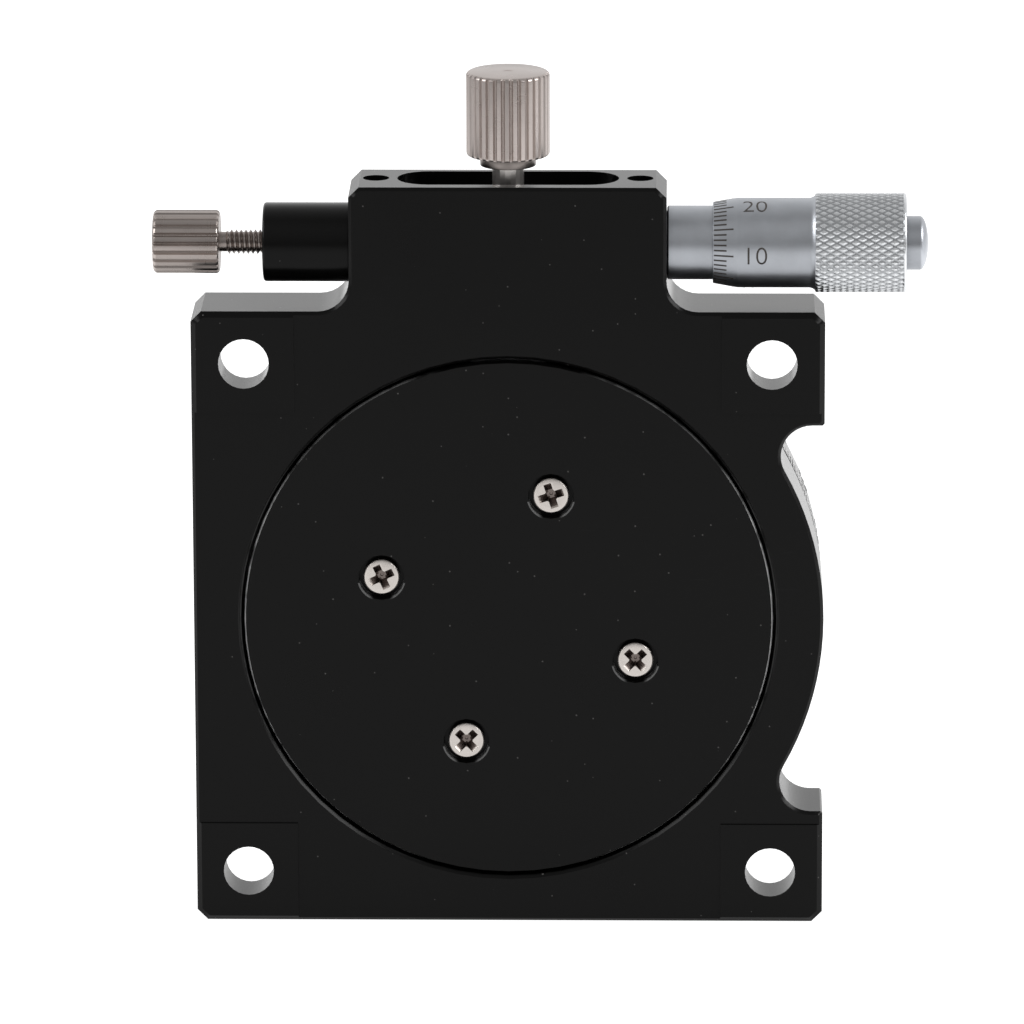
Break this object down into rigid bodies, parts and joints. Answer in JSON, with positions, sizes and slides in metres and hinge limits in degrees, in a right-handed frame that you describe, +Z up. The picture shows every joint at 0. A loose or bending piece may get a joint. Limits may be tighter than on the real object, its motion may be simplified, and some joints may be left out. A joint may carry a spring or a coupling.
{
  "type": "manual rotation stage",
  "caption": "Square-bodied manual rotation stage with a micrometer-driven tangent arm, a spring plunger, a rotation clamp and a lock screw.",
  "frame": {"origin": "where the rotation axis meets the table's working face", "axes": "+Y along the rotation axis out of the working face, +X towards the micrometer, +Z up through the neck with the stage standing on its lower edge"},
  "size_m": [0.0733, 0.015, 0.0823],
  "materials": {
    "anodised_black": "satin black anodised aluminium",
    "satin_chrome": "satin chrome on steel",
    "knob_steel": "turned stainless steel, slightly warm",
    "screw_nickel": "nickel-plated steel",
    "ground_steel": "hardened and ground",
    "machined_steel": "machined",
    "spring_wire": "drawn wire",
    "shoe_brass": "plain brass",
    "white_plastic": "low-friction washer",
    "set_screw_black": "blackened steel"
  },
  "bodies": {
    "base": {"base_body": "anodised_black", "micrometer_sleeve": "satin_chrome", "sleeve_set_screw": "set_screw_black", "spring_barrel": "anodised_black", "barrel_set_screw": "set_screw_black", "thrust_washer": "white_plastic", "preload_spring": "spring_wire"},
    "bearing": {"ball_cage": "ground_steel"},
    "arm": {"tangent_arm": "machined_steel", "arm_anvil": "ground_steel", "clamp_shoe": "shoe_brass"},
    "rotor": {"table": "anodised_black", "rotor_disc": "anodised_black", "disc_screw_1": "screw_nickel", "disc_screw_2": "screw_nickel", "disc_screw_3": "screw_nickel", "disc_screw_4": "screw_nickel"},
    "spindle": {"micrometer_spindle": "ground_steel"},
    "thimble": {"thimble": "satin_chrome", "thimble_grip": "satin_chrome", "thimble_cap": "satin_chrome"},
    "plunger": {"plunger": "ground_steel"},
    "clamp_stem": {"clamp_screw": "screw_nickel"},
    "clamp_knob": {"clamp_knob": "knob_steel"},
    "lock_stem": {"lock_screw": "screw_nickel"},
    "lock_knob": {"lock_knob": "knob_steel"}
  },
  "joints": [
    {"name": "micrometer_turn", "type": "hinge", "parent": "spindle", "child": "thimble", "pos_m": [0.03, -0.01025, 0.0358], "axis": [1, 0, 0], "range_deg": [-2250, 2250]},
    {"name": "spindle_feed", "type": "slide", "parent": "base", "child": "spindle", "axis": [1, 0, 0], "range_m": [-0.00312, 0.00312]},
    {"name": "fine_rotation", "type": "hinge", "parent": "base", "child": "arm", "pos_m": [0, -0.01025, 0], "axis": [0, 1, 0], "range_deg": [-5.05, 5.05]},
    {"name": "plunger_slide", "type": "slide", "parent": "base", "child": "plunger", "axis": [1, 0, 0], "range_m": [-0.00315, 0.00315], "deforming": ["preload_spring"]},
    {"name": "table_turn", "type": "hinge", "parent": "arm", "child": "rotor", "pos_m": [0, -0.01025, 0], "axis": [0, 1, 0], "continuous": true},
    {"name": "bearing_roll", "type": "hinge", "parent": "base", "child": "bearing", "pos_m": [0, -0.0058, 0], "axis": [0, 1, 0], "continuous": true},
    {"name": "clamp_feed", "type": "slide", "parent": "arm", "child": "clamp_stem", "axis": [0, 0, 1], "range_m": [0, 0.00074]},
    {"name": "clamp_turn", "type": "hinge", "parent": "clamp_stem", "child": "clamp_knob", "pos_m": [0, -0.01025, 0.0485], "axis": [0, 0, 1], "range_deg": [0, 540]},
    {"name": "lock_feed", "type": "slide", "parent": "base", "child": "lock_stem", "axis": [1, 0, 0], "range_m": [-0.002, 0.00036]},
    {"name": "lock_turn", "type": "hinge", "parent": "lock_stem", "child": "lock_knob", "pos_m": [-0.03, -0.01025, 0.0358], "axis": [1, 0, 0], "range_deg": [-1610, 295]}
  ],
  "couplings": [
    {"joint": "micrometer_turn", "follows": "spindle_feed", "rad_per_m": 12566},
    {"joint": "fine_rotation", "follows": "spindle_feed", "rad_per_m": 27.933},
    {"joint": "plunger_slide", "follows": "spindle_feed", "ratio": 1},
    {"joint": "bearing_roll", "follows": "table_turn", "ratio": 0.5},
    {"joint": "clamp_turn", "follows": "clamp_feed", "rad_per_m": 12566},
    {"joint": "lock_turn", "follows": "lock_feed", "rad_per_m": 13963}
  ]
}
